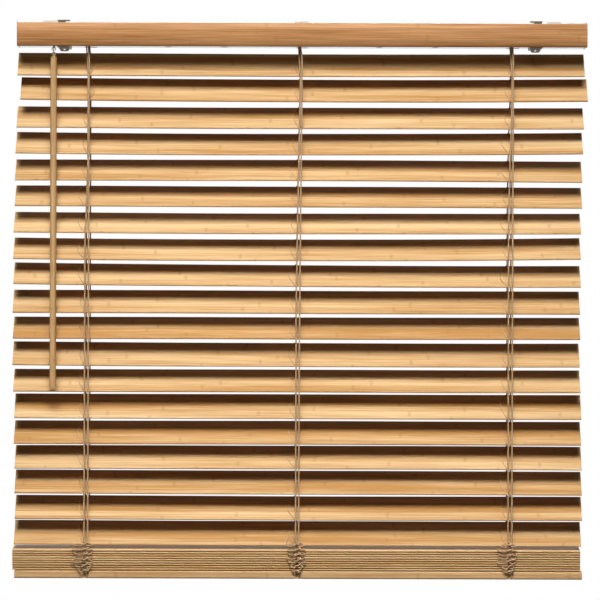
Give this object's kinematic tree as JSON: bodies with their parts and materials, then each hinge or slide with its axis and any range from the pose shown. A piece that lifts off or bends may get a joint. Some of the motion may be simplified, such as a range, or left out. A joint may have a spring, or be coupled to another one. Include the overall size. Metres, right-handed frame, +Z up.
{
  "type": "bamboo venetian blind",
  "caption": "Partly raised bamboo venetian blind: wide lacquered slats on string ladders, moulded valance, tilt wand and a heavy bottom rail.",
  "frame": {"origin": "on the ceiling plane midway between the two brackets' ceiling screws, in X and Z; in Y on the plane of the slat axes", "axes": "+X along the slats to the right seen from the room, -Y into the room, +Z up"},
  "size_m": [0.9156, 0.075, 0.8859],
  "materials": {
    "bamboo": "satin lacquer",
    "coated_steel": "satin",
    "plated_steel": "satin",
    "cord": "matt braid",
    "plastic": "matt"
  },
  "bodies": {
    "headrail": {"headrail": "coated_steel", "end_cap_left": "plastic", "end_cap_right": "plastic", "valance": "bamboo", "valance_clips": "plated_steel", "bracket_left": "coated_steel", "bracket_right": "coated_steel", "bracket_latches": "plated_steel", "drum_cradle_left": "plastic", "drum_cradle_centre": "plastic", "drum_cradle_right": "plastic", "tilter_housing": "plastic", "spring_motor_left": "plastic", "spring_motor_right": "plastic", "front_ladder_tails": "cord", "rear_ladder_tails": "cord", "front_lift_cords": "cord", "rear_lift_cords": "cord"},
    "tilt_rod": {"tilt_rod": "plated_steel", "tilt_drum_left": "plastic", "tilt_drum_centre": "plastic", "tilt_drum_right": "plastic"},
    "slat_01": {"slat_01": "bamboo"},
    "slat_02": {"slat_02": "bamboo"},
    "slat_03": {"slat_03": "bamboo"},
    "slat_04": {"slat_04": "bamboo"},
    "slat_05": {"slat_05": "bamboo"},
    "slat_06": {"slat_06": "bamboo"},
    "slat_07": {"slat_07": "bamboo"},
    "slat_08": {"slat_08": "bamboo"},
    "slat_09": {"slat_09": "bamboo"},
    "slat_10": {"slat_10": "bamboo"},
    "slat_11": {"slat_11": "bamboo"},
    "slat_12": {"slat_12": "bamboo"},
    "slat_13": {"slat_13": "bamboo"},
    "slat_14": {"slat_14": "bamboo"},
    "slat_15": {"slat_15": "bamboo"},
    "slat_16": {"slat_16": "bamboo"},
    "slat_17": {"slat_17": "bamboo"},
    "slat_18": {"slat_18": "bamboo"},
    "slat_19": {"slat_19": "bamboo"},
    "slat_20": {"slat_20": "bamboo"},
    "slat_21": {"slat_21": "bamboo"},
    "slat_22": {"slat_22": "bamboo"},
    "slat_23": {"slat_23": "bamboo"},
    "slat_24": {"slat_24": "bamboo"},
    "slat_25": {"slat_25": "bamboo"},
    "slat_26": {"slat_26": "bamboo"},
    "slat_27": {"slat_27": "bamboo"},
    "slat_28": {"slat_28": "bamboo"},
    "front_ladder": {"front_ladder_cords": "cord"},
    "rear_ladder": {"rear_ladder_cords": "cord"},
    "bottom_rail": {"bottom_rail": "bamboo", "rail_plugs": "bamboo", "ladder_slack": "cord"},
    "tilter_shaft": {"tilter_shaft": "plated_steel"},
    "wand_link": {"wand_link": "plated_steel"},
    "wand_ring": {"wand_ring": "plated_steel"},
    "wand": {"wand_cap": "plastic", "wand": "bamboo"}
  },
  "joints": [
    {"name": "slat_tilt", "type": "hinge", "parent": "headrail", "child": "slat_01", "pos_m": [0, 0, -0.0695], "axis": [1, 0, 0], "range_deg": [-105.6, 17.6], "deforming": ["front_ladder_tails", "rear_ladder_tails"]},
    {"name": "slat_02_tilt", "type": "hinge", "parent": "headrail", "child": "slat_02", "pos_m": [0, 0, -0.1113], "axis": [1, 0, 0], "range_deg": [-105.6, 17.6]},
    {"name": "slat_03_tilt", "type": "hinge", "parent": "headrail", "child": "slat_03", "pos_m": [0, 0, -0.1531], "axis": [1, 0, 0], "range_deg": [-105.6, 17.6]},
    {"name": "slat_04_tilt", "type": "hinge", "parent": "headrail", "child": "slat_04", "pos_m": [0, 0, -0.1949], "axis": [1, 0, 0], "range_deg": [-105.6, 17.6]},
    {"name": "slat_05_tilt", "type": "hinge", "parent": "headrail", "child": "slat_05", "pos_m": [0, 0, -0.2367], "axis": [1, 0, 0], "range_deg": [-105.6, 17.6]},
    {"name": "slat_06_tilt", "type": "hinge", "parent": "headrail", "child": "slat_06", "pos_m": [0, 0, -0.2785], "axis": [1, 0, 0], "range_deg": [-105.6, 17.6]},
    {"name": "slat_07_tilt", "type": "hinge", "parent": "headrail", "child": "slat_07", "pos_m": [0, 0, -0.3203], "axis": [1, 0, 0], "range_deg": [-105.6, 17.6]},
    {"name": "slat_08_tilt", "type": "hinge", "parent": "headrail", "child": "slat_08", "pos_m": [0, 0, -0.3621], "axis": [1, 0, 0], "range_deg": [-105.6, 17.6]},
    {"name": "slat_09_tilt", "type": "hinge", "parent": "headrail", "child": "slat_09", "pos_m": [0, 0, -0.4039], "axis": [1, 0, 0], "range_deg": [-105.6, 17.6]},
    {"name": "slat_10_tilt", "type": "hinge", "parent": "headrail", "child": "slat_10", "pos_m": [0, 0, -0.4457], "axis": [1, 0, 0], "range_deg": [-105.6, 17.6]},
    {"name": "slat_11_tilt", "type": "hinge", "parent": "headrail", "child": "slat_11", "pos_m": [0, 0, -0.4875], "axis": [1, 0, 0], "range_deg": [-105.6, 17.6]},
    {"name": "slat_12_tilt", "type": "hinge", "parent": "headrail", "child": "slat_12", "pos_m": [0, 0, -0.5293], "axis": [1, 0, 0], "range_deg": [-105.6, 17.6]},
    {"name": "slat_13_tilt", "type": "hinge", "parent": "headrail", "child": "slat_13", "pos_m": [0, 0, -0.5711], "axis": [1, 0, 0], "range_deg": [-105.6, 17.6]},
    {"name": "slat_14_tilt", "type": "hinge", "parent": "headrail", "child": "slat_14", "pos_m": [0, 0, -0.6129], "axis": [1, 0, 0], "range_deg": [-105.6, 17.6]},
    {"name": "slat_15_tilt", "type": "hinge", "parent": "headrail", "child": "slat_15", "pos_m": [0, 0, -0.6547], "axis": [1, 0, 0], "range_deg": [-105.6, 17.6]},
    {"name": "slat_16_tilt", "type": "hinge", "parent": "headrail", "child": "slat_16", "pos_m": [0, 0, -0.694], "axis": [1, 0, 0], "range_deg": [-105.6, 17.6]},
    {"name": "slat_17_tilt", "type": "hinge", "parent": "headrail", "child": "slat_17", "pos_m": [0, 0, -0.7333], "axis": [1, 0, 0], "range_deg": [-105.6, 17.6]},
    {"name": "slat_18_tilt", "type": "hinge", "parent": "headrail", "child": "slat_18", "pos_m": [0, 0, -0.7726], "axis": [1, 0, 0], "range_deg": [-105.6, 17.6]},
    {"name": "slat_19_tilt", "type": "hinge", "parent": "headrail", "child": "slat_19", "pos_m": [0, 0, -0.8119], "axis": [1, 0, 0], "range_deg": [-105.6, 17.6]},
    {"name": "front_ladder_shift", "type": "hinge", "parent": "slat_01", "child": "front_ladder", "pos_m": [0, -0.01798, -0.08687], "axis": [1, 0, 0], "range_deg": [-17.6, 105.6]},
    {"name": "rear_ladder_shift", "type": "hinge", "parent": "slat_01", "child": "rear_ladder", "pos_m": [0, 0.01798, -0.05213], "axis": [1, 0, 0], "range_deg": [-17.6, 105.6]},
    {"name": "tilt_rod_turn", "type": "hinge", "parent": "headrail", "child": "tilt_rod", "pos_m": [0, 0, -0.0205], "axis": [1, 0, 0], "range_deg": [-199.56, 33.68]},
    {"name": "tilter_shaft_turn", "type": "hinge", "parent": "headrail", "child": "tilter_shaft", "pos_m": [-0.39, -0.0332, -0.0477], "axis": [0, -0.7071, -0.7071], "range_deg": [-2161, 361]},
    {"name": "wand_turn", "type": "hinge", "parent": "headrail", "child": "wand_link", "pos_m": [-0.39, -0.0332, -0.0477], "axis": [0, 0, -1], "range_deg": [-2161, 361]},
    {"name": "wand_swing", "type": "hinge", "parent": "wand_link", "child": "wand_ring", "pos_m": [-0.39, -0.0332, -0.0496], "axis": [-1, 0, 0], "range_deg": [0, 35]},
    {"name": "wand_sway", "type": "hinge", "parent": "wand_ring", "child": "wand", "pos_m": [-0.39, -0.0332, -0.0537], "axis": [0, 1, 0], "range_deg": [-25, 25]},
    {"name": "lift", "type": "slide", "parent": "headrail", "child": "bottom_rail", "axis": [0, 0, 1], "range_m": [-0.35025, 0], "deforming": ["front_lift_cords", "rear_lift_cords", "ladder_slack"]},
    {"name": "slat_20_drop", "type": "slide", "parent": "headrail", "child": "slat_20", "axis": [0, 0, 1], "range_m": [-0.01667, 0]},
    {"name": "slat_21_drop", "type": "slide", "parent": "headrail", "child": "slat_21", "axis": [0, 0, 1], "range_m": [-0.05437, 0]},
    {"name": "slat_22_drop", "type": "slide", "parent": "headrail", "child": "slat_22", "axis": [0, 0, 1], "range_m": [-0.09207, 0]},
    {"name": "slat_23_drop", "type": "slide", "parent": "headrail", "child": "slat_23", "axis": [0, 0, 1], "range_m": [-0.12976, 0]},
    {"name": "slat_24_drop", "type": "slide", "parent": "headrail", "child": "slat_24", "axis": [0, 0, 1], "range_m": [-0.16746, 0]},
    {"name": "slat_25_drop", "type": "slide", "parent": "headrail", "child": "slat_25", "axis": [0, 0, 1], "range_m": [-0.20516, 0]},
    {"name": "slat_26_drop", "type": "slide", "parent": "headrail", "child": "slat_26", "axis": [0, 0, 1], "range_m": [-0.24286, 0]},
    {"name": "slat_27_drop", "type": "slide", "parent": "headrail", "child": "slat_27", "axis": [0, 0, 1], "range_m": [-0.28055, 0]},
    {"name": "slat_28_drop", "type": "slide", "parent": "headrail", "child": "slat_28", "axis": [0, 0, 1], "range_m": [-0.31825, 0]}
  ],
  "couplings": [
    {"joint": "slat_02_tilt", "follows": "slat_tilt", "ratio": 1},
    {"joint": "slat_03_tilt", "follows": "slat_tilt", "ratio": 1},
    {"joint": "slat_04_tilt", "follows": "slat_tilt", "ratio": 1},
    {"joint": "slat_05_tilt", "follows": "slat_tilt", "ratio": 1},
    {"joint": "slat_06_tilt", "follows": "slat_tilt", "ratio": 1},
    {"joint": "slat_07_tilt", "follows": "slat_tilt", "ratio": 1},
    {"joint": "slat_08_tilt", "follows": "slat_tilt", "ratio": 1},
    {"joint": "slat_09_tilt", "follows": "slat_tilt", "ratio": 1},
    {"joint": "slat_10_tilt", "follows": "slat_tilt", "ratio": 1},
    {"joint": "slat_11_tilt", "follows": "slat_tilt", "ratio": 1},
    {"joint": "slat_12_tilt", "follows": "slat_tilt", "ratio": 1},
    {"joint": "slat_13_tilt", "follows": "slat_tilt", "ratio": 1},
    {"joint": "slat_14_tilt", "follows": "slat_tilt", "ratio": 1},
    {"joint": "slat_15_tilt", "follows": "slat_tilt", "ratio": 1},
    {"joint": "slat_16_tilt", "follows": "slat_tilt", "ratio": 1},
    {"joint": "slat_17_tilt", "follows": "slat_tilt", "ratio": 1},
    {"joint": "slat_18_tilt", "follows": "slat_tilt", "ratio": 1},
    {"joint": "slat_19_tilt", "follows": "slat_tilt", "ratio": 1},
    {"joint": "front_ladder_shift", "follows": "slat_tilt", "ratio": -1},
    {"joint": "rear_ladder_shift", "follows": "slat_tilt", "ratio": -1},
    {"joint": "tilt_rod_turn", "follows": "slat_tilt", "ratio": 1.885},
    {"joint": "tilter_shaft_turn", "follows": "slat_tilt", "ratio": 20.455},
    {"joint": "wand_turn", "follows": "slat_tilt", "ratio": 20.455},
    {"joint": "slat_20_drop", "follows": "lift", "ratio": 0.044748},
    {"joint": "slat_21_drop", "follows": "lift", "ratio": 0.15238},
    {"joint": "slat_22_drop", "follows": "lift", "ratio": 0.26001},
    {"joint": "slat_23_drop", "follows": "lift", "ratio": 0.36763},
    {"joint": "slat_24_drop", "follows": "lift", "ratio": 0.47526},
    {"joint": "slat_25_drop", "follows": "lift", "ratio": 0.58289},
    {"joint": "slat_26_drop", "follows": "lift", "ratio": 0.69052},
    {"joint": "slat_27_drop", "follows": "lift", "ratio": 0.79815},
    {"joint": "slat_28_drop", "follows": "lift", "ratio": 0.90578}
  ]
}
